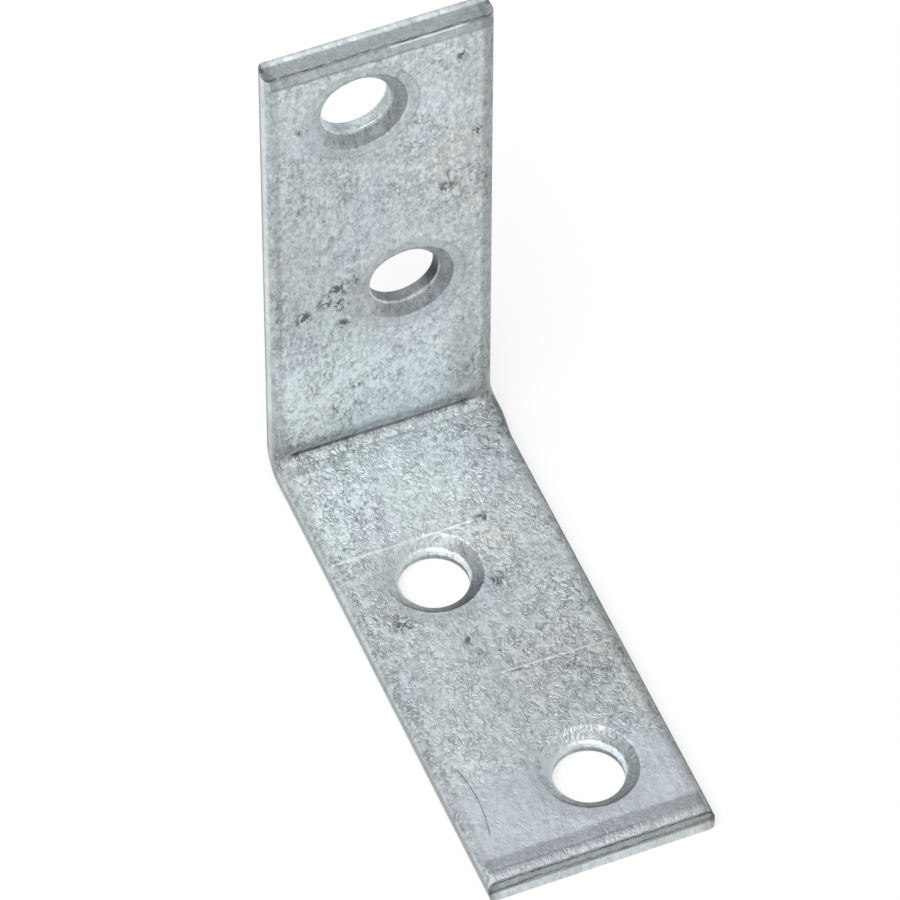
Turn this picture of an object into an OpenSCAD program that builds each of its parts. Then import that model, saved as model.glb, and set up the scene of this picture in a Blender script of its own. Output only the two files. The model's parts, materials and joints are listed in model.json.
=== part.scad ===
// Corner brace bracket: one strip of zinc-plated steel, bent once into a base leg and a wall leg,
// with two countersunk screw holes staggered along each leg.
// Units are millimetres. X runs across the strip, -Y along the base leg and +Z up the wall leg.
// The origin is on the bottom face, at the middle of the bounding box.

/* [Strip] */
// Width of the strip
strip_w = 15.9; // [15.5:0.1:20]
// Thickness of the strip
strip_t = 1.7; // [1.6:0.1:2]
// Radius of the rolled long edges
edge_r = 0.7; // [0.4:0.1:0.7]

/* [Legs] */
// Height of the wall leg, from the bottom face
wall_leg = 40.2; // [38.5:0.1:50]
// Length of the base leg, from the wall face
base_leg = 39.3; // [37.5:0.1:50]
// Inner radius of the bend
bend_r = 0.6; // [0.5:0.1:1.4]

/* [Screw holes] */
// Diameter of the straight wall of each hole
hole_d = 4.8; // [4:0.1:5.2]
// Length of the straight wall, from the outer face
hole_wall = 0.9; // [0.7:0.05:1.1]
// Diameter of each countersink's rim
sink_d = 6.6; // [5.8:0.1:7.2]
// Distance of the wall leg's lower hole from the bottom face
wall_hole_near = 16.2; // [12:0.1:18]
// Distance of the wall leg's upper hole from its cut end
wall_hole_end = 5.7; // [5.5:0.1:8]
// Distance of the base leg's back hole from the wall face
base_hole_near = 14.1; // [12:0.1:16]
// Distance of the base leg's front hole from its cut end
base_hole_end = 6.6; // [5.5:0.1:8]
// Offset to the right of the middle line, for the lower and the front hole
stagger_right = 1.8; // [0:0.1:2]
// Offset to the left of the middle line, for the upper and the back hole
stagger_left = 1.45; // [0:0.05:2]

/* [Press marks] */
// Diameter of the flat ring that the punch coins round each hole
coin_d = 8.0; // [7.6:0.1:9]
// Depth of the coined ring
coin_depth = 0.08; // [0.02:0.01:0.12]
// How far the outer edge of each cut end stands out beyond the inner edge
end_lean = 0.35; // [0.1:0.05:0.5]
// Length over which the inner face rolls over towards each cut end
roll_len = 1.3; // [0.8:0.05:1.6]
// Drop of the inner face at each cut end
roll_drop = 0.18; // [0.1:0.01:0.3]
// Radius of the crease that the bending tool presses across the inside of the bend
crease_r = 0.4; // [0.3:0.05:0.5]
// Depth of the crease
crease_depth = 0.14; // [0.08:0.01:0.2]
// Direction of the crease from the bend's centre, in degrees below the horizontal
crease_angle = 34; // [20:1:60]
// Distance from each end of the crease to the strip's side
crease_margin = 1.1; // [0.9:0.1:2]
// How far the bead of squeezed metal stands out of each side, along the inside of the bend
bulge = 0.3; // [0.2:0.05:0.35]
// Radius of that bead's edge
bead_r = 0.6; // [0.5:0.05:0.65]
// Depth of the bead's top below the inner face
bead_drop = 0.1; // [0.05:0.05:0.3]
// Length of each leg over which the bead sinks back into its side
flare_len = 2.0; // [1.5:0.1:3]

/* [Hidden] */
$fn = 96;
zinc = [0.62, 0.65, 0.66];
// How far a cutter stands clear of the face that it cuts
clear = 0.5;
// Outer radius of the bend, and so the distance from each outer face to the bend's centre
bend_out = bend_r + strip_t;
// Middle of the right-hand bead's cross-section, in the directions of section() below
bead_at = [strip_w / 2 + bulge - bead_r, strip_t - bead_drop - bead_r];
// Depth at which the bead ends, just inside the leg's round edge
bead_sink = 0.06;
// The concave arc by which the bead thins out along a leg
bead_loss = bulge + bead_sink;
flare_r = (flare_len * flare_len + bead_loss * bead_loss) / (2 * bead_loss);
// The cylinder that rounds each cut end meets the inner face where the rollover starts
roll_r = (roll_len * roll_len + roll_drop * roll_drop) / (2 * roll_drop);

// Cross-section of the strip: x across, y through the thickness from the outer face (0) to the inner one.
module section() {
    translate([-strip_w / 2 + edge_r, 0])
        square([strip_w - 2 * edge_r, strip_t]);
    translate([-strip_w / 2, edge_r])
        square([strip_w, strip_t - 2 * edge_r]);
    for (x = [-1, 1] * (strip_w / 2 - edge_r), y = [edge_r, strip_t - edge_r])
        translate([x, y])
            circle(r = edge_r);
}

// The quarter turn of the strip, about an axis along X at the inside of the corner.
module bend() {
    translate([0, -bend_out, bend_out])
        rotate([-90, 0, 0])
            rotate([0, -90, 0])
                rotate_extrude(angle = 90)
                    translate([bend_out, 0])
                        rotate(90) {
                            section();
                            for (side = [-1, 1])
                                translate([side * bead_at[0], bead_at[1]])
                                    circle(r = bead_r);
                        }
}

// Both legs are drawn in one frame: x across, y from the outer face to the inner one, z along the leg
// from the corner to the cut end. These two modules lay that frame on each leg.
module on_wall_leg() {
    mirror([0, 1, 0])
        children();
}

module on_base_leg() {
    rotate([90, 0, 0])
        children();
}

// The bead's tail on one side of a leg: round about its own axis, and thinner along a concave arc.
module tail() {
    translate([bead_at[0], bead_at[1], bend_out])
        rotate_extrude()
            difference() {
                square([bead_r, flare_len]);
                translate([bead_r - bead_loss + flare_r, flare_len])
                    circle(r = flare_r);
            }
}

// One screw hole with its countersink and coined ring, along z from the outer face to the inner one.
module screw_hole() {
    rim_at = strip_t - coin_depth;
    translate([0, 0, -clear])
        cylinder(d = hole_d, h = strip_t + 2 * clear);
    translate([0, 0, hole_wall])
        cylinder(d1 = hole_d, d2 = sink_d, h = rim_at - hole_wall);
    translate([0, 0, rim_at])
        cylinder(d = coin_d, h = coin_depth + clear);
}

// What the shear takes off at a cut end, up to a face that leans back from the outer edge.
module shear(length) {
    translate([-strip_w, 0, length])
        rotate([-atan(end_lean / strip_t), 0, 0])
            translate([0, -clear, 0])
                cube([2 * strip_w, strip_t + 3 * clear, end_lean + 2 * clear]);
}

// The metal that the shear draws down there: what lies outside a cylinder across the strip.
module rollover(length) {
    translate([-strip_w, strip_t, length - end_lean])
        difference() {
            translate([0, -2 * roll_drop, -roll_len])
                cube([2 * strip_w, 2 * roll_drop + clear, roll_len + clear]);
            translate([-clear, -roll_r, -roll_len])
                rotate([0, 90, 0])
                    cylinder(r = roll_r, h = 2 * (strip_w + clear));
        }
}

// A leg without its bend. Each hole is given as its offset across the strip and its distance from the corner.
module leg(length, holes) {
    difference() {
        union() {
            translate([0, 0, bend_out])
                linear_extrude(length - bend_out)
                    section();
            tail();
            mirror([1, 0, 0])
                tail();
        }
        for (hole = holes)
            translate([hole[0], 0, hole[1]])
                rotate([-90, 0, 0])
                    screw_hole();
        shear(length);
        rollover(length);
    }
}

// The crease, a round-bottomed groove that stops short of both sides.
module crease() {
    crease_len = strip_w - 2 * crease_margin;
    centre_r = bend_r + crease_depth - crease_r;
    translate([
        -crease_len / 2,
        -bend_out + centre_r * cos(crease_angle),
        bend_out - centre_r * sin(crease_angle)
    ])
        rotate([0, 90, 0])
            cylinder(r = crease_r, h = crease_len);
}

module brace() {
    color(zinc)
        translate([0, base_leg / 2, 0])
            difference() {
                union() {
                    on_wall_leg()
                        leg(wall_leg, [
                            [stagger_right, wall_hole_near],
                            [-stagger_left, wall_leg - wall_hole_end]
                        ]);
                    bend();
                    on_base_leg()
                        leg(base_leg, [
                            [-stagger_left, base_hole_near],
                            [stagger_right, base_leg - base_hole_end]
                        ]);
                }
                crease();
            }
}

brace();
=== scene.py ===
# %% [markdown]
# # A corner brace, pressed from plated steel strip
# The real object is a short length of steel strip, punched, bent once at a right angle and plated with
# zinc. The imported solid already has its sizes. This script lays a finer skin over it, with the soft edges,
# torn ends and press marks that a machined-looking solid lacks, and then gives it the dull, mottled finish
# of zinc.

# %% Load the frame
import json
import math
from functools import reduce

import bpy
import mathutils
import numpy as np
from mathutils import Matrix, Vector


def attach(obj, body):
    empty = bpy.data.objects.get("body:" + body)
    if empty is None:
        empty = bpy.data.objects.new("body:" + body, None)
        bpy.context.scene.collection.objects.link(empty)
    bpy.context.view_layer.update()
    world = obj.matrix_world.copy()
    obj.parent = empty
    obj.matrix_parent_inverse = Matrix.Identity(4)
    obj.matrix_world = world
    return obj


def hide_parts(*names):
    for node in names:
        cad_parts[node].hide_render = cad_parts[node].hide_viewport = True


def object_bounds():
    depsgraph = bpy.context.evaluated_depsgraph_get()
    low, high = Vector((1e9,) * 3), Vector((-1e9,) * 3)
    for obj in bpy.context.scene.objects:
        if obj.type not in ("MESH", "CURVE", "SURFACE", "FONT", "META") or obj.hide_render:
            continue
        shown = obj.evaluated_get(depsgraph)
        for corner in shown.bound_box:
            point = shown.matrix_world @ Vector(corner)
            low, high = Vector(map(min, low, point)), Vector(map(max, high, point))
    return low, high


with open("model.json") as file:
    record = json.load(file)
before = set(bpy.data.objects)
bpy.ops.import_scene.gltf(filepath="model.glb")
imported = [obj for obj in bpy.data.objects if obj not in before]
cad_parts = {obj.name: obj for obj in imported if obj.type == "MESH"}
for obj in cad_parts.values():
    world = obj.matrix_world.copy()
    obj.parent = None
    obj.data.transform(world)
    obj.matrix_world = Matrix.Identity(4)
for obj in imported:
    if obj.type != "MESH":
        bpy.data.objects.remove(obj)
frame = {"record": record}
CAD_BOX = [list(corner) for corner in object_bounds()]
print("the solid's box:", CAD_BOX)

# %% [markdown]
# ## Sizes
# The legs and the holes are read from the frame, so the skin follows the solid if its sizes change. What
# the frame doesn't hold is named here once, in millimetres, because that is how such a part is drawn. The
# long edges are rolled: round on the inner face, tighter on the outer one, and the sides lean in a little.

# %% Sizes of the strip
MM = 1000.0
low, high = (np.array(box_corner) * MM for box_corner in CAD_BOX)
WALL_LEG = high[2] - low[2]
BASE_LEG = high[1] - low[1]
WALL_FACE = high[1]
BULGE = 0.3
WIDTH = high[0] - low[0] - 2 * BULGE
THICK = 1.7
EDGE_R = 0.7
OUTER_EDGE_R = 0.4
SIDE_LEAN = 0.07
BEND_IN = 0.6
BEND_OUT = BEND_IN + THICK
FLAT = WIDTH / 2 - EDGE_R
print(f"legs {WALL_LEG:.1f} and {BASE_LEG:.1f} mm, strip {WIDTH:.1f} x {THICK:.1f} mm")

# %% [markdown]
# ## The strip laid flat
# Everything is placed on the strip as it was before bending: x runs across, d is the depth from the outer
# face and s is the way along it, from the wall leg's cut end to the base leg's. The bend is given the
# length of its middle fibre. Working flat is how the press works too: the holes are punched before the
# strip is folded.

# %% Places along the flat strip
BEND_START = WALL_LEG - BEND_OUT
BEND_LEN = (BEND_IN + THICK / 2) * math.pi / 2
BEND_END = BEND_START + BEND_LEN
STRIP_END = BEND_END + BASE_LEG - BEND_OUT


def on_wall(z):
    """The way along the strip of a height on the wall leg."""
    return WALL_LEG - z


def on_base(y):
    """The way along the strip of a place on the base leg."""
    return BEND_END + (WALL_FACE - BEND_OUT) - y


def hole_on_strip(mount):
    """Centre (x, s) of a screw hole, whose mount points out of the leg that carries it."""
    x, y, z = (c * MM for c in mount["pos_m"])
    return (x, on_wall(z)) if abs(mount["axis"][1]) > 0.5 else (x, on_base(y))


mounts = {m["name"]: m for m in frame["record"]["mounts"]}
hole_mounts = [m for m in mounts.values() if m["kind"] == "bore"]
HOLES = sorted((hole_on_strip(m) for m in hole_mounts), key=lambda hole: hole[1])
HOLE_R = hole_mounts[0]["dims"]["r_mm"]
HOLE_WALL = hole_mounts[0]["dims"]["length_mm"]
print("holes at (x, s):", [tuple(round(float(c), 2) for c in hole) for hole in HOLES])

# %% [markdown]
# ## Folding
# A point keeps its x. Up to the bend it climbs down the wall leg, inside the bend it turns about one axis,
# and after it the point runs out along the base leg. One formula does all three, because the straight runs
# are what is left of s when the turn is clipped to a quarter circle.


# %% Fold flat points into the corner
def fold(x, d, s):
    """Centre of the bend, plus a radius of (outer radius - d) turned by the angle that s has reached, plus
    the straight run that s still has before the bend (up) or has already had after it (forwards)."""
    turn = np.clip((s - BEND_START) / BEND_LEN, 0, 1) * math.pi / 2
    radius = BEND_OUT - d
    y = WALL_FACE - BEND_OUT + radius * np.cos(turn) - np.maximum(s - BEND_END, 0)
    z = BEND_OUT - radius * np.sin(turn) + np.maximum(BEND_START - s, 0)
    return np.stack([x, y, z], -1)


print("the strip's two ends land at", fold(0, 0, 0), fold(0, 0, STRIP_END))

# %% [markdown]
# ## What the press leaves
# The shear drags the inner face down at each cut end and tears the lower part of the cut. The punch coins a
# faint flat ring round each hole. The bending tool presses a crease across the inside of the corner, and
# the metal squeezed there stands out at both sides. Such marks could be sculpted or cut with booleans. Here
# each one is a small smooth change to a flat point, so they add up, and every mark keeps its own few sizes.

# %% Sizes of the press marks
ROLL_LEN, ROLL_DROP = 1.3, 0.18
ROLL_R = (ROLL_LEN**2 + ROLL_DROP**2) / (2 * ROLL_DROP)
COIN_R, COIN_DEPTH = 4.0, 0.08
END_LEAN = 0.35
CREASE_AT = BEND_START + BEND_LEN * 27 / 90
CREASE_DEPTH = 0.17
FLARE_LEN = 3.0
TOOL_LINE_DEPTH, TOOL_LINE_GAP = 0.014, 0.62
LEFT_BULGE = BULGE / 3
BEAD_DEPTH, BEAD_SPREAD = 0.7, 0.5
OTHER_END = 50.0
STEP_BACK = 0.07
BROKEN_D, RAGGED_D = 0.78, THICK - 0.26
TORN_WIDTH = 0.06
DEEPEST_TEAR = 0.3
print(f"crease {CREASE_DEPTH} mm deep, rolled ends {ROLL_LEN} mm long and {ROLL_DROP} mm down")


# %% Smooth steps and wandering lines
def ramp(value, start, end):
    """0 before start, 1 after end, and the smooth cubic 3t^2 - 2t^3 between them."""
    t = np.clip((value - start) / (end - start), 0, 1)
    return t * t * (3 - 2 * t)


def wander(value, waves, seed):
    """A line that wanders between about -1 and 1: sines of given lengths, each with its own phase."""
    phases = np.random.default_rng(seed).uniform(0, 2 * math.pi, len(waves))
    return sum(np.sin(2 * math.pi * value / wave + p) for wave, p in zip(waves, phases)) / len(waves) ** 0.5


# %% Marks on the inner face
def crease(x, s):
    """A groove with a soft upper side and a steeper lower one: (1 - u^2)^2 of the distance u from its
    line, faded out before it reaches the strip's sides."""
    line = CREASE_AT + 0.04 * wander(x, (9.0, 4.1), 3)
    reach = np.where(s < line, 1.1, 0.5)
    u = np.clip((s - line) / reach, -1, 1)
    return CREASE_DEPTH * (1 - u * u) ** 2 * (1 - ramp(np.abs(x), 6.1, 7.0))


def tool_lines(x, s):
    """Shallow lines that the bending tool's edge leaves just below the crease, parallel to it."""
    past = s - BEND_END
    waves = np.cos(2 * math.pi * past / TOOL_LINE_GAP + 0.4 * wander(x, (7.0, 3.0), 8))
    where = ramp(past, -0.6, 0.0) * (1 - ramp(past, 0.9, 1.4)) * (1 - ramp(np.abs(x), 6.4, 7.4))
    return TOOL_LINE_DEPTH * waves * where


def coin(x, s):
    """The flat ring round each hole: a constant depth inside its radius, with a softer edge on the base
    leg."""
    soft = np.where(s < BEND_START, 0.1, 0.6)
    away = [np.hypot(x - hole_x, s - hole_s) for hole_x, hole_s in HOLES]
    return sum(COIN_DEPTH * (1 - ramp(r, COIN_R - soft, COIN_R + soft)) for r in away)


def rollover(x, s):
    """Drop of the inner face near a cut end: a circular arc that starts a wavering distance from the end."""
    end = np.minimum(s, STRIP_END - s) + 0.1 * wander(x + s, (6.3, 2.9, 1.3), 5)
    near = np.clip(ROLL_LEN * (1 - end / (ROLL_LEN + END_LEAN)), 0, ROLL_LEN + 0.1)
    return ROLL_R - np.sqrt(ROLL_R**2 - near**2)


# %% Marks on the sides and the cut ends
def squeeze(x, d, s):
    """Sideways bead at the inside of the bend: highest at the base end of the bend, thinning out along each
    leg, and widest a little below the inner face. The left one was squeezed out less than the right one."""
    away = np.maximum((BEND_END - s) / (BEND_LEN + 0.8), (s - BEND_END) / FLARE_LEN)
    along = (1 - ramp(away, 0, 1)) * np.where(x > 0, BULGE, LEFT_BULGE)
    through = np.exp(-(((d - THICK + BEAD_DEPTH) / BEAD_SPREAD) ** 2))
    return np.sign(x) * along * through * ramp(np.abs(x), FLAT - 0.4, WIDTH / 2)


def torn_line(d, at):
    """A bell-shaped line across the cut end, at a depth that may wander."""
    return np.exp(-(((d - at) / TORN_WIDTH) ** 2))


def tear(x, d, s):
    """How far the cut end is torn back: nothing on the outer edge, a slope up to a dull step, a broken line
    at its top (mostly on the base leg), a ragged dark line where the clean shear near the inner face stops,
    and grit between them. The two ends are read from stretches of the waves that lie far apart."""
    on_base_end = s >= STRIP_END / 2
    shift = np.where(on_base_end, OTHER_END, 0.0)
    along = x + shift
    step = STEP_BACK * ramp(d, 0.05, 0.5 + 0.08 * wander(along, (5.0, 2.2, 0.9), 11))
    broken_d = BROKEN_D + 0.07 * wander(along, (7.5, 3.1, 1.2), 12)
    broken_back = np.where(on_base_end, 0.08, 0.01) * ramp(wander(along, (4.7, 1.7), 13), -0.8, 0.3)
    ragged_d = RAGGED_D + 0.04 * wander(along, (6.1, 2.3, 0.7), 14)
    ragged_back = 0.07 + 0.04 * wander(along, (3.3, 1.1), 15)
    grit = 0.012 * wander(x * 1.7 + 3.1 * d + shift, (0.9, 0.53, 0.37), 16) * ramp(d, 0.5, 0.8)
    back = step + broken_back * torn_line(d, broken_d) + ragged_back * torn_line(d, ragged_d) + grit
    return np.clip(back, 0, DEEPEST_TEAR) * (1 - ramp(np.abs(x), WIDTH / 2 - 0.5, WIDTH / 2))


def press(x, d, s):
    """Flat points after the press. The inner face drops and takes less and less of the depth below with
    it, x takes the bead, and s takes the cut end's lean and tears, which fade along the strip."""
    drop = rollover(x, s) + coin(x, s) + crease(x, s) + tool_lines(x, s)
    end = np.minimum(s, STRIP_END - s)
    inward = np.where(s < STRIP_END / 2, 1, -1)
    lean = END_LEAN * d / THICK * (1 - ramp(end, 0.0, ROLL_LEN + END_LEAN))
    torn = tear(x, d, s) * (1 - ramp(end, 0.0, 0.5))
    return x + squeeze(x, d, s), d - drop * (d / THICK) ** 3, s + inward * (lean + torn)


print("deepest crease", float(crease(np.zeros(1), np.array([CREASE_AT]))[0]), "mm")

# %% [markdown]
# ## A skin of grids
# Each part of the surface is a grid of two parameters. Plain stretches run across and along. Around a hole
# one grid runs from a square of the inner face down the countersink, through the straight wall and out over
# the outer face, so the rim needs no cutting. Neighbouring grids have the same points on their shared
# edges.

# %% Lay a grid on the flat strip
STEP, FINE_STEP = 0.25, 0.1
FINE_RUN = 2.2
HALF_BLOCK = 4.75
grids = []


def lay(x, d, s, flip):
    """Keeps a grid of flat points and the quads between its rows and columns, wound to face outwards."""
    x, d, s = np.broadcast_arrays(x, d, s)
    index = np.arange(x.size).reshape(x.shape)
    quads = np.stack([index[:-1, :-1], index[:-1, 1:], index[1:, 1:], index[1:, :-1]], -1)
    quads = quads.reshape(-1, 4)
    grids.append((np.stack([x, d, s], -1).reshape(-1, 3), quads[:, ::-1] if flip else quads))


# %% Points across the strip and stations along it
across = np.linspace(-FLAT, FLAT, 2 * round(FLAT / STEP) + 1)
stops = [0.0]
for _, hole_s in HOLES:
    stops += [hole_s - HALF_BLOCK, hole_s + HALF_BLOCK]
stops.append(STRIP_END)


def stations(start, end):
    """Stations along the strip between two stops, closer together near the cut ends and in the bend."""
    fine = [c for c in (BEND_START - FINE_RUN, BEND_START, BEND_END, BEND_END + FINE_RUN) if start < c < end]
    marks = [start, *fine, end]
    runs = []
    for a, b in zip(marks, marks[1:]):
        near_bend = BEND_START - FINE_RUN < (a + b) / 2 < BEND_END + FINE_RUN
        step = FINE_STEP if near_bend or b - a < 2 else STEP
        runs.append(np.linspace(a, b, max(2, round((b - a) / step) + 1)))
    return np.unique(np.concatenate(runs).round(6))


spans = [stations(a, b) for a, b in zip(stops, stops[1:])]
print(len(across), "points across, stations in each stretch:", [len(span) for span in spans])

# %% Plain faces, the round sides and the cut ends
for span in spans[::2]:
    lay(across[None, :], THICK, span[:, None], True)
    lay(across[None, :], 0.0, span[:, None], False)

inner_turn = np.linspace(math.pi / 2, 0, 10)
outer_turn = np.linspace(0, math.pi / 2, 9)
flank_d = (THICK - EDGE_R + OUTER_EDGE_R) / 2
side_x = np.concatenate([EDGE_R * np.cos(inner_turn), [EDGE_R - SIDE_LEAN / 2],
                         EDGE_R - SIDE_LEAN - OUTER_EDGE_R * (1 - np.cos(outer_turn)), [0]])
side_d = np.concatenate([THICK - EDGE_R * (1 - np.sin(inner_turn)), [flank_d],
                         OUTER_EDGE_R * (1 - np.sin(outer_turn)), [0]])
all_s = np.unique(np.concatenate(spans))
for side in (1, -1):
    lay(side * (FLAT + side_x)[None, :], side_d[None, :], all_s[:, None], side > 0)

half = len(inner_turn) + 1


def outline(profile_x, profile_d, face_d):
    """Half of the strip's outline, from the middle of its left side over one face to that of its right."""
    return (np.concatenate([-(FLAT + profile_x[::-1]), across[1:-1], FLAT + profile_x]),
            np.concatenate([profile_d[::-1], np.full(len(across) - 2, face_d), profile_d]))


upper_x, upper_d = outline(side_x[:half], side_d[:half], THICK)
lower_x, lower_d = outline(side_x[:half - 2:-1], side_d[:half - 2:-1], 0.0)
down = np.linspace(0, 1, 41)[:, None]
for end_s, flip in ((0.0, False), (STRIP_END, True)):
    lay(upper_x * (1 - down) + lower_x * down, upper_d * (1 - down) + lower_d * down, end_s, flip)
print(len(grids), "grids of faces, sides and ends")

# %% [markdown]
# ## The screw holes
# The countersink is a wide cone from the inner face to the straight wall. Its lip and its foot are given
# small radii, because a punch and zinc never leave a sharp edge. The profile is a list of radii and depths,
# carried round the hole along rays that end on the block's square edge.

# %% Profile of a hole, carried round it
SINK_R = 3.3
BACK_ROW_R = 3.4
BLOCK_R = COIN_R + 0.35


def sink_r(depth):
    """Radius of the countersink at a depth: it widens from the wall's end to the inner face."""
    return HOLE_R + (SINK_R - HOLE_R) * (depth - HOLE_WALL) / (THICK - HOLE_WALL)


lip = [(SINK_R + dr, THICK - dd) for dr, dd in ((0.14, 0.0), (0.07, 0.01), (0.0, 0.04), (-0.06, 0.08))]
cone = [(sink_r(d), d) for d in np.linspace(THICK - 0.14, HOLE_WALL + 0.1, 8)]
foot = [(sink_r(HOLE_WALL + 0.05), HOLE_WALL + 0.04), (HOLE_R + 0.01, HOLE_WALL), (HOLE_R, HOLE_WALL - 0.07)]
wall = [(HOLE_R, d) for d in np.linspace(HOLE_WALL - 0.2, 0.12, 6)]
back = [(HOLE_R + 0.01, 0.05), (HOLE_R + 0.05, 0.01), (HOLE_R + 0.12, 0.0), (HOLE_R + 0.4, 0.0)]
ring = [(COIN_R + dr, THICK) for dr in (0.35, 0.2, 0.1, 0.0, -0.1, -0.2, -0.35)]
profile = np.array(ring + lip + cone + foot + wall + back + [(BACK_ROW_R, 0.0), (BLOCK_R, 0.0)])


def hole_block(hx, hs, span):
    """Around the square's edge (columns) and along the profile (rows). Rows between the square and the ring
    are straight blends of the two, and every column lies on one ray from the hole's centre."""
    right, left = np.full(len(span) - 1, FLAT), np.full(len(span) - 1, -FLAT)
    first, last = np.full(len(across), span[0]), np.full(len(across) - 1, span[-1])
    edge_x = np.concatenate([across, right, across[-2::-1], left])
    edge_s = np.concatenate([first, span[1:], last, span[-2::-1]])
    ray = np.arctan2(edge_s - hs, edge_x - hx)
    round_x = hx + profile[:, :1] * np.cos(ray)
    round_s = hs + profile[:, :1] * np.sin(ray)
    blend = np.linspace(0, 1, 5)[:-1, None]
    outer_x = edge_x * (1 - blend) + round_x[0] * blend
    outer_s = edge_s * (1 - blend) + round_s[0] * blend
    x = np.concatenate([outer_x, round_x, outer_x[::-1]])
    s = np.concatenate([outer_s, round_s, outer_s[::-1]])
    d = np.concatenate([np.full(len(blend), THICK), profile[:, 1], np.zeros(len(blend))])[:, None]
    lay(x, d, s, True)


for (hole_x, hole_s), span in zip(HOLES, spans[1::2]):
    hole_block(hole_x, hole_s, span)
print(len(grids), "grids in all, with a hole profile of", len(profile), "points")

# %% [markdown]
# ## Sewing the skin
# The grids are joined by giving points at one place one number. The grids of the cut ends narrow to nothing
# at the strip's sides, so triangles that lose a corner there are dropped. A closed skin has each edge once
# in each direction, which is checked by counting.


# %% Weld the grids and make the mesh
def weld(parts):
    """Points within a ten-thousandth of a millimetre become one, and quads become triangles, without those
    that have lost a corner."""
    offsets = np.cumsum([0] + [len(p) for p, _ in parts[:-1]])
    points = np.concatenate([p for p, _ in parts])
    quads = np.concatenate([q + o for (_, q), o in zip(parts, offsets)])
    places = (points * 1e4).round().astype(np.int64)
    _, first, number = np.unique(places, axis=0, return_index=True, return_inverse=True)
    quads = number.reshape(-1)[quads]
    triangles = np.concatenate([quads[:, [0, 1, 2]], quads[:, [0, 2, 3]]])
    whole = ((triangles[:, 0] != triangles[:, 1]) & (triangles[:, 1] != triangles[:, 2])
             & (triangles[:, 2] != triangles[:, 0]))
    return points[first], triangles[whole]


flat_points, triangles = weld(grids)
points = fold(*press(*flat_points.T)) / MM
edges = np.concatenate([triangles[:, [0, 1]], triangles[:, [1, 2]], triangles[:, [2, 0]]]).astype(np.int64)
there, back_again = (np.unique(e[:, 0] * len(points) + e[:, 1]) for e in (edges, edges[:, ::-1]))
closed = len(there) == len(edges) and np.array_equal(there, back_again)
corners = points[triangles] * MM
volume = np.einsum("ij,ij->i", corners[:, 0], np.cross(corners[:, 1], corners[:, 2])).sum() / 6
print(len(triangles), f"triangles, closed: {closed}, volume {volume:.0f} mm3")


# %% Put the skin into Blender
SHARP_FROM = math.radians(42)


def make_mesh(name, verts, faces):
    """A smooth-shaded mesh object at the origin, sharp only where its faces meet at a steeper angle."""
    mesh = bpy.data.meshes.new(name)
    mesh.from_pydata(verts, [], faces)
    mesh.update()
    mesh.shade_smooth()
    mesh.set_sharp_from_angle(angle=SHARP_FROM)
    thing = bpy.data.objects.new(name, mesh)
    bpy.context.scene.collection.objects.link(thing)
    return thing


skin = make_mesh("brace_skin", points, triangles)
place = skin.data.attributes.new("strip_place", "FLOAT_VECTOR", "POINT")
place.data.foreach_set("vector", flat_points.astype(np.float32).ravel())
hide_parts("brace")
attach(skin, "root")
print("skin with", len(skin.data.polygons), "faces")

# %% [markdown]
# ## Shader maths as plain expressions
# A material is easier to read as a formula than as a web of nodes. A Term wraps one output socket, and
# adding, multiplying or comparing Terms makes the Math nodes. Every other node comes from the one method of
# Shader.


# %% Terms
class Term:
    """One output of a node tree, which Python's arithmetic turns into Math nodes."""

    def __init__(self, shader, socket):
        self.shader, self.socket = shader, socket

    def math(self, operation, *values):
        made = self.shader.node("ShaderNodeMath", {"operation": operation}, dict(enumerate(values)))
        return Term(self.shader, made.outputs[0])

    def __add__(self, other):
        return self.math("ADD", self, other)

    def __radd__(self, other):
        return self.math("ADD", other, self)

    def __sub__(self, other):
        return self.math("SUBTRACT", self, other)

    def __rsub__(self, other):
        return self.math("SUBTRACT", other, self)

    def __mul__(self, other):
        return self.math("MULTIPLY", self, other)

    def __rmul__(self, other):
        return self.math("MULTIPLY", other, self)

    def __truediv__(self, other):
        return self.math("DIVIDE", self, other)

    def __rtruediv__(self, other):
        return self.math("DIVIDE", other, self)

    def __pow__(self, other):
        return self.math("POWER", self, other)

    def __abs__(self):
        return self.math("ABSOLUTE", self)

    def lowest(self, other):
        return self.math("MINIMUM", self, other)

    def highest(self, other):
        return self.math("MAXIMUM", self, other)

    def ramp(self, start, end):
        """0 before start and 1 after end, smooth between: the shader's twin of ramp above."""
        made = self.shader.node("ShaderNodeMapRange", {"interpolation_type": "SMOOTHSTEP"},
                                {"Value": self, "From Min": start, "From Max": end})
        return Term(self.shader, made.outputs["Result"])

    def fall(self, start, end):
        """1 before start and 0 after end."""
        return 1 - self.ramp(start, end)

    def band(self, middle, half_width):
        """1 on a line and 0 from half_width away."""
        return abs(self - middle).fall(0.0, half_width)


def strongest(terms):
    """The highest of several terms at each point."""
    return reduce(Term.highest, terms)


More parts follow.
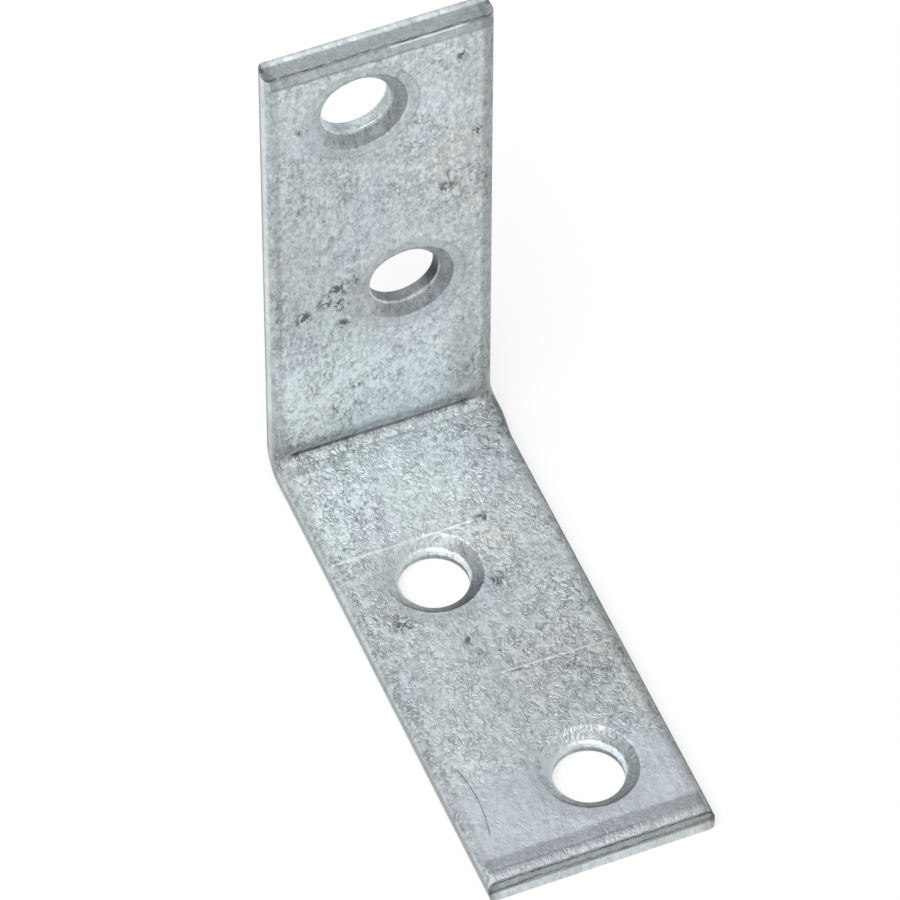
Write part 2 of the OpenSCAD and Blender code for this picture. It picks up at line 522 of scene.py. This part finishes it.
# %% The Shader
class Shader:
    """A material's node tree with a plain Principled surface."""

    def __init__(self, name):
        self.material = bpy.data.materials.new(name)
        self.material.use_nodes = True
        self.tree = self.material.node_tree
        self.tree.nodes.clear()
        self.surface = self.node("ShaderNodeBsdfPrincipled")
        self.output = self.node("ShaderNodeOutputMaterial", {}, {"Surface": self.surface.outputs[0]})

    def fill(self, made, inputs):
        """Gives a node's sockets their values or links."""
        for key, value in inputs.items():
            value = value.socket if isinstance(value, Term) else value
            if isinstance(value, bpy.types.NodeSocket):
                self.tree.links.new(value, made.inputs[key])
            else:
                made.inputs[key].default_value = value

    def node(self, kind, settings=None, inputs=None):
        """A node of a type, with its settings set first and then its sockets' values or links."""
        made = self.tree.nodes.new(kind)
        for name, value in (settings or {}).items():
            setattr(made, name, value)
        self.fill(made, inputs or {})
        return made

    def term(self, made, output=0):
        return Term(self, made.outputs[output])

    def noise(self, where, scale, detail=2.0, roughness=0.5, distortion=0.0):
        """Noise whose features are about 1 / scale long."""
        made = self.node("ShaderNodeTexNoise", {}, {"Vector": where, "Scale": scale, "Detail": detail,
                                                    "Roughness": roughness, "Distortion": distortion})
        return self.term(made, "Fac")

    def joined(self, x, y, z):
        """A vector from three terms or numbers."""
        return self.term(self.node("ShaderNodeCombineXYZ", {}, {0: x, 1: y, 2: z}))

    def mix(self, factor, first, second):
        """Colour between two colours, by a Mix node."""
        made = self.node("ShaderNodeMix", {"data_type": "RGBA"}, {0: factor, 6: first, 7: second})
        return self.term(made, 2)


# %% [markdown]
# ## Dull zinc
# Zinc plating that has rubbed about in a box is a pale, slightly blue-green grey. Close up it is covered
# with fine dark worm-like lines, crowded in some patches and almost absent in others, over soft mottling
# and faint streaks along the strip. An image could be wrapped on, but noise has no seams and stays sharp
# close up. The lines are the places where a bent noise crosses its middle value. The pattern is measured in
# millimetres of the object, so it goes round the edges unbroken, and it is drawn out a little along both
# legs.

# %% The grain of the plating
GRAIN_SCALE = (MM, MM * 0.8, MM * 0.65)

zinc = Shader("zinc_plating")
object_place = zinc.node("ShaderNodeTexCoord").outputs["Object"]
object_mm = zinc.term(zinc.node("ShaderNodeVectorMath", {"operation": "MULTIPLY"}, {
    0: object_place, 1: GRAIN_SCALE}))
strip_place = zinc.node("ShaderNodeAttribute", {"attribute_name": "strip_place"}).outputs["Vector"]
strip = zinc.node("ShaderNodeSeparateXYZ", {}, {0: strip_place})
x, d, s = (zinc.term(strip, axis) for axis in range(3))

crowded = zinc.noise(object_mm, 0.26, 3.0, 0.6).ramp(0.36, 0.66)
lines = abs(zinc.noise(object_mm, 2.0, 1.5, 0.6, 1.0) - 0.5).fall(0.0, 0.13)
worms = lines * zinc.noise(object_mm, 1.2, 2.0, 0.6).ramp(0.36, 0.52)
blots = zinc.noise(object_mm, 2.3, 2.0, 0.55, 1.2).ramp(0.5, 0.62)
pits = zinc.noise(object_mm, 1.5, 4.0, 0.7).ramp(0.56, 0.70)
mottle = zinc.noise(object_mm, 3.2, 1.5, 0.6, 0.5)
patches = zinc.noise(object_mm, 0.5, 3.0, 0.6)
clouds = zinc.noise(object_mm, 0.12, 2.0, 0.5)
streaks = zinc.noise(zinc.joined(x * 2.4, d, s * 0.12), 1.0, 2.0, 0.6)
print("grain terms made,", len(zinc.tree.nodes), "nodes so far")

# %% [markdown]
# ## Where tools and handling changed it, and where light and shade are painted
# The punches and the shear pressed the countersinks, the coined rings and the rolled ends smoother, and the
# rings and the rolled ends darker. The countersinks and the straight walls of the holes carry painted shade
# and painted highlights that change with the way round each hole. The crease, the corner's left end, the
# torn lines of the cut ends and the long edges carry painted shade, and the base leg's left edge and the
# wall's top end painted highlights. Two scratches and a nick cross the base leg, the long scratches with a
# painted shadow beside them, and a hairline curves beside its front hole. Dark specks of flux or dirt lie
# near the lower wall hole and here and there. They could be painted by hand, but each is a short formula of
# its place on the strip, so it stays where the strip goes. The two legs catch the light differently, so many
# marks have one strength on the wall leg and one on the base leg.

# %% Which leg, and which depth
UPPER_WALL_S, BACK_S = HOLES[0][1], HOLES[2][1]

on_base_leg = s.ramp(BEND_START, BEND_END)
on_wall_leg = 1 - on_base_leg
inner = d.ramp(THICK - 0.1, THICK - 0.03)
above_wall = d.ramp(HOLE_WALL - 0.1, HOLE_WALL - 0.02)


def by_leg(wall_value, base_value):
    """One value on the wall leg and another on the base leg, changing over within the bend."""
    return wall_value + (base_value - wall_value) * on_base_leg


def distance(place_x, place_s):
    """How far the surface is from a place on the strip."""
    return (((x - place_x) ** 2) + ((s - place_s) ** 2)) ** 0.5


# %% Round each hole
# turn_x and turn_s are the cosine and sine of the way round the nearest hole, and 0 far from all holes.
aways = [distance(*hole) for hole in HOLES]
hole_away = reduce(Term.lowest, aways)
nears = [away.fall(COIN_R, COIN_R + 0.3) / away for away in aways]
turn_x = sum((x - hole_x) * near for (hole_x, _), near in zip(HOLES, nears))
turn_s = sum((s - hole_s) * near for (_, hole_s), near in zip(HOLES, nears))

in_bore = hole_away.fall(HOLE_R + 0.01, HOLE_R + 0.04)
in_cone = hole_away.fall(SINK_R - 0.06, SINK_R + 0.04) * (1 - in_bore) * above_wall
on_lower_hole = s.ramp(UPPER_WALL_S + 6, UPPER_WALL_S + 8) * on_wall_leg
foot_base = turn_s.fall(0.1, 0.6) * on_base_leg
foot_wall = turn_s.ramp(-0.4, 0.2) * on_wall_leg * 0.5
# Painted highlight: a bright line along the foot of the countersink, on one side of each hole.
painted_foot_highlight = hole_away.band(HOLE_R + 0.08, 0.12) * above_wall * foot_base.highest(foot_wall)
# Painted shade: a dark line along the countersink's lip, darker on one side of each hole.
painted_rim_shade = hole_away.band(SINK_R, 0.13) * d.ramp(THICK - 0.4, THICK - 0.25)
rim_shade_by_side = by_leg((turn_s * -1).ramp(0.0, 0.8) * 0.4 + 0.1, turn_s.ramp(0.0, 0.8) * 0.6)
halo = hole_away.ramp(SINK_R, SINK_R + 0.15) * hole_away.fall(COIN_R - 0.3, COIN_R + 0.5) * inner
ring_side = (turn_x * 0.75 + turn_s * 0.66).ramp(-0.6, 0.4)
# Painted shade: a dark line along the coined ring's edge, on one side of each wall hole.
painted_ring_shade = hole_away.band(COIN_R + 0.05, 0.14) * ring_side * on_wall_leg * inner
print("hole terms made,", len(zinc.tree.nodes), "nodes so far")

# %% The painted shade and painted highlights of each cone and of each straight wall, from the way round the hole
# Painted shade and painted highlights: each cone and bore is darkened or lightened by a share that changes
# with the way round the hole.
wall_cone_shade = turn_x * 0.28 + turn_s * 0.15 + 0.31
base_cone_shade = turn_x * 0.33 + turn_s * 0.34 + 0.25
base_cone_shade = base_cone_shade - (turn_x * turn_x - turn_s * turn_s) * 0.1 - turn_x * turn_s * 0.335
near_cone_shade = (turn_x * 0.5 + turn_s * 0.87).ramp(0.7, 1.0) * s.fall(BACK_S + 5, BACK_S + 7)
base_cone_shade = base_cone_shade + near_cone_shade * 0.18
wall_bore_shade = turn_x.ramp(0.4, 1.0) * 0.5 + on_lower_hole * 0.7 - 0.25
base_bore_shade = (turn_x * 0.3 + 0.35) * (1 - d.ramp(0.35, 0.6) * 1.5)
painted_hole_shade = in_cone * by_leg(wall_cone_shade, base_cone_shade) + in_bore * by_leg(wall_bore_shade, base_bore_shade)

# %% The rolled ends and the cuts
end_away = s.lowest(STRIP_END - s)
end_wave = end_away + zinc.noise(object_mm, 0.9, 3.0) * 0.35 - 0.17
rolled_to = by_leg(ROLL_LEN - 0.05, ROLL_LEN + 0.15)
rolled = (end_wave - by_leg(0.0, 0.8)).fall(ROLL_LEN - 0.25, rolled_to) * inner
rolled = rolled * (1 - end_away.fall(0.3, 0.8) * by_leg(0.0, 0.5))
roll_line = end_wave.band(0.97, 0.22) * (1 - x.ramp(2.0, 4.5) * 0.6) * inner
# Painted highlight: a bright line along the wall's top end, between the cut face and the rolled edge.
painted_glint = end_away.fall(0.05, 0.11) * inner * s.fall(1.0, 2.0) * x.ramp(0.4, 0.9) * x.fall(5.6, 6.2)

cut = end_away.fall(0.0, 0.02)
sheared = (d - by_leg(0.0, 0.2)).fall(0.31, 0.46)
cut_band = cut * (sheared - d.band(0.08, 0.09) * by_leg(0.4, 0.0))
ragged_d = d + (mottle - 0.5) * 0.3
cut_low = (ragged_d + (patches - 0.5) * 0.5).band(0.82, 0.15) * (pits * 0.4 + 0.6) * on_base_leg
# Painted shade: dark lines along the torn lines of the cut ends. The paler sheared band and the darker cut
# face are the cut's own finish.
painted_tear_shade = cut * cut_low.highest(ragged_d.band(THICK - 0.25, 0.12))
cut_finish_and_shade = cut_band * 0.4 - cut * 0.44 - painted_tear_shade * by_leg(0.26, 0.42)

# %% The long edges and the sides
across_away = abs(x)
# Painted shade: a darker band where the inner face rolls over into the left edge.
painted_left_edge_shade = x.fall(-FLAT - 0.1, -FLAT + 0.35) * x.ramp(-FLAT - 0.67, -FLAT - 0.57)
# Painted highlight: a bright line on the base leg's left edge.
painted_edge_highlight = x.band(-FLAT - 0.57, 0.09) * d.ramp(THICK - 0.75, THICK - 0.5) * on_base_leg
side_face = across_away.ramp(FLAT + 0.5, FLAT + 0.67)
# Painted shade: the right-hand edges and the right of the wall leg are darker, as the light comes from the
# left, and a dark line runs along the base leg's right side.
painted_right_line_shade = x.ramp(FLAT + 0.38, FLAT + 0.5) * d.ramp(THICK - 0.75, THICK - 0.6) * on_base_leg
painted_right_edge_shade = x.ramp(FLAT - 0.4, FLAT - 0.05) * by_leg(0.28, 0.15) + painted_right_line_shade * 0.4
painted_right_edge_shade = painted_right_edge_shade + x.ramp(4.8, 6.2) * by_leg(0.09, 0.0)
# Painted shade: a dark line along the outer rounded edges of both sides.
painted_outline_shade = across_away.ramp(FLAT + 0.3, FLAT + 0.45) * (d - by_leg(0.0, 0.5)).fall(0.62, 0.78)

# %% Painted shade in the crease and at the corner's left end
# Painted shade: dark bands across the crease, a little darker towards the left.
past_crease = s - CREASE_AT + (mottle - 0.5) * 0.3
painted_crease_shade = past_crease.band(-0.25, 0.7) * 0.65 + past_crease.band(-1.15, 0.7) * 0.36
painted_crease_shade = painted_crease_shade + past_crease.band(0.72, 0.45) * 0.2
painted_crease_shade = painted_crease_shade * (1.25 - x.ramp(-5.0, 0.0) * 0.25) * across_away.fall(6.3, 7.1) * inner
# Painted shade: the left end of the corner is darkened.
painted_corner_shade = s.ramp(CREASE_AT - 6.0, CREASE_AT - 1.5) * s.fall(CREASE_AT + 0.8, CREASE_AT + 2.2)
painted_corner_shade = painted_corner_shade * x.fall(-7.1, -6.3)
print("zone terms made,", len(zinc.tree.nodes), "nodes so far")


# %% Scratches and the hairline
# Each line is given as y at its left and right end, x where it starts and ends, and half its width.
SCRATCHES = [(8.6, 8.68, -7.6, 3.0, 0.17), (-3.82, -4.05, -0.6, 7.6, 0.15), (8.34, 8.34, 7.1, 7.7, 0.15)]
# SHADOWS are painted shadows beside the two long scratches, given in the same columns.
SHADOWS = [(8.85, 8.93, -7.6, 3.0, 0.2), (-3.6, -3.83, -0.6, 7.6, 0.18)]
HAIRLINE_X, HAIRLINE_Y, HAIRLINE_BOW = -5.93, -12.9, 0.045


def line_across(y_left, y_right, start, end, half_width):
    """A straight line across the base leg's inner face, fading at its ends."""
    tilt = (y_right - y_left) / (end - start)
    along = s - on_base(y_left) + (x - start) * tilt
    ends = x.ramp(start - 0.3, start + 0.3) * x.fall(end - 0.4, end + 0.1)
    return along.band(0.0, half_width) * ends * d.ramp(THICK - 0.5, THICK - 0.3)


scratches = strongest([line_across(*line) for line in SCRATCHES])
shadows = strongest([line_across(*line) for line in SHADOWS])
past_middle = s - on_base(HAIRLINE_Y)
hairline = (x - HAIRLINE_X + past_middle * past_middle * HAIRLINE_BOW).band(0.0, 0.07)
hairline = hairline * past_middle.ramp(-3.2, -2.6) * past_middle.fall(2.4, 3.2) * inner
print("scratches made,", len(zinc.tree.nodes), "nodes so far")

# %% Specks
# Each speck is given as its place (x, s) and its radius.
NEAR_LOWER_WALL_HOLE = [(-3.25, on_wall(17.6), 1.0), (-3.0, on_wall(16.2), 0.8), (-4.1, on_wall(16.8), 0.7),
                        (-5.7, on_wall(15.9), 0.8), (-2.9, on_wall(14.2), 0.6), (-2.0, on_wall(18.3), 0.5)]
ELSEWHERE_ON_WALL = [(-1.95, on_wall(7.5), 0.45), (4.5, on_wall(24.8), 0.7), (5.55, on_wall(37.2), 0.45),
                     (6.6, on_wall(29.5), 0.5), (-5.5, on_wall(34.5), 0.5)]
ON_BASE = [(3.2, on_base(8.6), 0.6), (2.15, on_base(3.3), 0.6), (-1.4, on_base(-0.7), 0.5),
           (-5.0, on_base(2.2), 0.8)]
SPECKS = NEAR_LOWER_WALL_HOLE + ELSEWHERE_ON_WALL + ON_BASE
broken_up = zinc.noise(object_mm, 2.9, 2.0, 0.6, 0.8).ramp(0.45, 0.55) * inner
specks = strongest([distance(place_x, place_s).fall(radius * 0.4, radius * 1.25)
                    for place_x, place_s, radius in SPECKS]) * broken_up
print(len(SPECKS), "specks,", len(zinc.tree.nodes), "nodes so far")

# %% [markdown]
# ## Colour, roughness and relief
# The tone starts from the grain and is multiplied by one factor for each mark, which is 1 where the mark is
# absent. Layers of shaders could be stacked instead, but one tone is easier to follow and to bake. Broad
# bands along the strip are a little paler or darker: near the corner, low on the wall leg and at the start
# of the base leg, the paleness is painted light that lifts the corner's shade, the base leg is darker
# towards its right, and the free end is rubbed, where the grain is calm. Wherever a tool pressed the metal,
# the grain has less strength.

# %% The tone of the grain
calm = s.ramp(on_base(-10.5), on_base(-13.0)) * inner
smooth_zone = strongest([in_cone.highest(in_bore) * 0.35, rolled * 0.5, cut * 0.7, halo * 0.4,
                         side_face * 0.7, calm * 0.75])
strength = (crowded * 0.5 + 0.5) * (1 - smooth_zone * 0.8) * (1 - scratches * 0.8)
# Painted light: the strip near the corner, low on the wall leg and at the start of the base leg, is made
# paler to lift the corner's shade. base_dark makes the base leg darker towards its right.
painted_corner_light = s.band(BEND_END + 4.0, 8.0) * x.fall(2.5, 6.5) * inner
painted_wall_light = s.band(on_wall(7.5), 8.0) * x.fall(3.5, 5.5) * inner
base_dark = s.band(on_base(-6.0), 11.0) * x.ramp(-5.0, 2.0) * inner

tone = 1.25 - worms * strength * 0.46 - blots * strength * 0.24 - pits * strength * 0.2
tone = tone + (mottle - 0.5) * (1.1 - smooth_zone * 0.8)
tone = tone + (patches - 0.5) * 0.34 + (clouds - 0.5) * 0.2 + (streaks - 0.5) * 0.24

# %% The marks, each with the share by which it lightens (+) or darkens (-) the tone
MARKS = [
    (painted_corner_light * 0.22 + painted_wall_light * 0.34 - base_dark * 0.17 - calm * 0.05, 1),
    (painted_hole_shade, -1),
    (rolled, by_leg(-0.3, -0.35)),
    (roll_line, -0.3),
    (halo, by_leg(-0.17, -0.07)),
    (painted_ring_shade, -0.22),
    (cut_finish_and_shade, 1),
    (painted_left_edge_shade, -0.24),
    (painted_edge_highlight, 0.35),
    (painted_outline_shade, by_leg(-0.5, -0.3)),
    (side_face, by_leg(0.0, -0.3)),
    (painted_right_edge_shade, -1),
    (painted_corner_shade, -0.26),
    (painted_foot_highlight, 1.7),
    (painted_rim_shade, rim_shade_by_side * -1),
    (painted_crease_shade, -1),
    (scratches, 0.1),
    (shadows, -0.1),
    (hairline, -0.3),
    (specks, -0.75),
]
for mark, share in MARKS:
    tone = tone * (1 + mark * share)
tone = tone + painted_glint * 0.8
print(len(MARKS), "marks,", len(zinc.tree.nodes), "nodes so far")

# %% Put the finish together
GREENISH_GREY, WARM_GREY = (0.85, 0.93, 0.945, 1), (0.89, 0.93, 0.915, 1)
BLUISH_GREY = (0.86, 0.91, 0.99, 1)
BLACK = (0.0, 0.0, 0.0, 1)
TONE_TO_COLOUR = 0.6

warm = zinc.noise(object_mm, 0.16, 2.0, 0.5).ramp(0.45, 0.75)
bluish = zinc.noise(object_mm, 0.3, 2.0, 0.5).ramp(0.5, 0.7)
pale = zinc.mix((bluish * 0.45).highest(calm * 0.6), zinc.mix(warm, GREENISH_GREY, WARM_GREY), BLUISH_GREY)
grain_height = mottle * 0.7 - worms * strength * 0.7 - blots * strength * 0.3
height = grain_height * (1 - cut * 0.6) + patches * 0.8 + scratches * 0.35 - hairline
relief = zinc.node("ShaderNodeBump", {}, {"Strength": 0.8, "Distance": 0.06 / MM, "Height": height})
zinc.fill(zinc.surface, {
    "Base Color": zinc.mix(tone * TONE_TO_COLOUR, BLACK, pale),
    "Roughness": 0.52 - mottle * 0.08 - smooth_zone * 0.06,
    "Metallic": 0.6,
    "Normal": relief.outputs[0],
})
skin.data.materials.append(zinc.material)
print("zinc has", len(zinc.tree.nodes), "nodes")

# %% [markdown]
# ## Floor, light and camera
# The photograph is a studio shot on white: soft light, a little stronger from the left, and no horizon in
# view. The floor is a sheet of pale paper under the brace. A pure white floor would lose the brace's
# shadow, so the paper is lit, and plain white is mixed in where the camera looks at it. The camera stands
# where the photograph's perspective puts it, half a metre away with a long lens.


# %% The floor
FLOOR_SIZE = 6.0
WHITE_SHARE = 0.65
PAPER_DARK, PAPER_PALE = (0.94, 0.94, 0.94, 1), (0.97, 0.97, 0.97, 1)


def flat_sheet(name, size):
    """A level square about the origin, at the height of the brace's underside."""
    r = size / 2
    sheet = make_mesh(name, [(-r, -r, 0), (r, -r, 0), (r, r, 0), (-r, r, 0)], [(0, 1, 2, 3)])
    return sheet


floor = flat_sheet("floor", FLOOR_SIZE)
paper = Shader("floor_paper")
fibres = paper.noise(paper.node("ShaderNodeTexCoord").outputs["Object"], 900.0, 2.0)
paper.fill(paper.surface, {"Base Color": paper.mix(fibres, PAPER_DARK, PAPER_PALE), "Roughness": 0.9})
glow = paper.node("ShaderNodeEmission", {}, {"Color": (1, 1, 1, 1), "Strength": 1.0})
path = paper.node("ShaderNodeLightPath")
rays = ("Is Camera Ray", "Is Glossy Ray", "Is Transmission Ray")
seen = strongest([paper.term(path, ray) for ray in rays])
lit_or_white = paper.node("ShaderNodeMixShader", {}, {
    0: seen * WHITE_SHARE, 1: paper.surface.outputs[0], 2: glow.outputs[0]})
paper.fill(paper.output, {"Surface": lit_or_white.outputs[0]})
floor.data.materials.append(paper.material)
print("floor", FLOOR_SIZE, "m wide")


# %% Directions and turns, shared by the lights and the camera
def towards(azimuth, elevation):
    """Unit vector from the brace to a place at these angles in degrees: azimuth 0 is straight in front."""
    a, e = math.radians(azimuth), math.radians(elevation)
    return np.array([math.sin(a) * math.cos(e), -math.cos(a) * math.cos(e), math.sin(e)])


def turn_to(thing, x_axis, y_axis, z_axis):
    """Turns an object so that its own axes lie along the three given ones."""
    thing.rotation_mode = "QUATERNION"
    axes = np.column_stack([x_axis, y_axis, z_axis])
    thing.rotation_quaternion = mathutils.Matrix(axes.tolist()).to_quaternion()


# %% The lights
LIT_HEIGHT = 0.015


def softbox(name, azimuth, elevation, distance_m, size, watts):
    """A square area lamp that looks at the brace from a direction given like the camera's."""
    away = towards(azimuth, elevation)
    lamp = bpy.data.lights.new(name, "AREA")
    lamp.shape, lamp.size, lamp.energy = "SQUARE", size, watts
    holder = bpy.data.objects.new(name, lamp)
    bpy.context.scene.collection.objects.link(holder)
    holder.location = away * distance_m + np.array([0, 0, LIT_HEIGHT])
    level = np.cross((0, 0, 1.0), away)
    level /= np.linalg.norm(level)
    turn_to(holder, level, np.cross(away, level), away)
    return holder


lamps = [softbox("top_left", -62, 70, 0.9, 0.7, 6.0), softbox("front_left", -25, 20, 0.9, 0.7, 1.7),
         softbox("back_right", 158, 55, 1.0, 0.9, 0.6)]
print("lamps of", [lamp.data.energy for lamp in lamps], "W")

# %% The world's even light, dimmer on the right
LIGHT_LEFT, LIGHT_RIGHT = 0.72, 0.22

sky = bpy.data.worlds.new("studio")
sky.use_nodes = True
tree = sky.node_tree
background = tree.nodes["Background"]
direction = tree.nodes.new("ShaderNodeSeparateXYZ")
tree.links.new(tree.nodes.new("ShaderNodeTexCoord").outputs["Generated"], direction.inputs[0])
falloff = tree.nodes.new("ShaderNodeMapRange")
SIDES_TO_LIGHT = {"From Min": -1.0, "From Max": 1.0, "To Min": LIGHT_LEFT, "To Max": LIGHT_RIGHT}
for socket, value in SIDES_TO_LIGHT.items():
    falloff.inputs[socket].default_value = value
tree.links.new(direction.outputs["X"], falloff.inputs["Value"])
background.inputs[0].default_value = (0.97, 1.0, 1.0, 1)
tree.links.new(falloff.outputs["Result"], background.inputs[1])
bpy.context.scene.world = sky
bpy.context.scene.view_settings.view_transform = "Standard"

# %% The camera
PHOTO_PX = 900
FOCAL_PX = 8000
AZIMUTH, ELEVATION, ROLL = -22.562, 51.005, math.radians(0.226)
TARGET = np.array([-0.716, -15.0 + WALL_FACE, 15.186]) / MM
DISTANCE = 0.5189

camera = bpy.data.cameras.new("camera")
camera.sensor_width = 36.0
camera.lens = FOCAL_PX / PHOTO_PX * camera.sensor_width
camera.clip_start, camera.clip_end = 0.05, 20.0
viewer = bpy.data.objects.new("camera", camera)
bpy.context.scene.collection.objects.link(viewer)
back_axis = towards(AZIMUTH, ELEVATION)
level = np.array([math.cos(math.radians(AZIMUTH)), math.sin(math.radians(AZIMUTH)), 0.0])
raised = np.cross(back_axis, level)
right_axis = level * math.cos(ROLL) + raised * math.sin(ROLL)
up_axis = -level * math.sin(ROLL) + raised * math.cos(ROLL)
turn_to(viewer, right_axis, up_axis, back_axis)
viewer.location = TARGET + back_axis * DISTANCE
bpy.context.scene.camera = viewer
print(f"camera {DISTANCE} m away with a {camera.lens:.0f} mm lens")

# %% Finish
print("scene built")
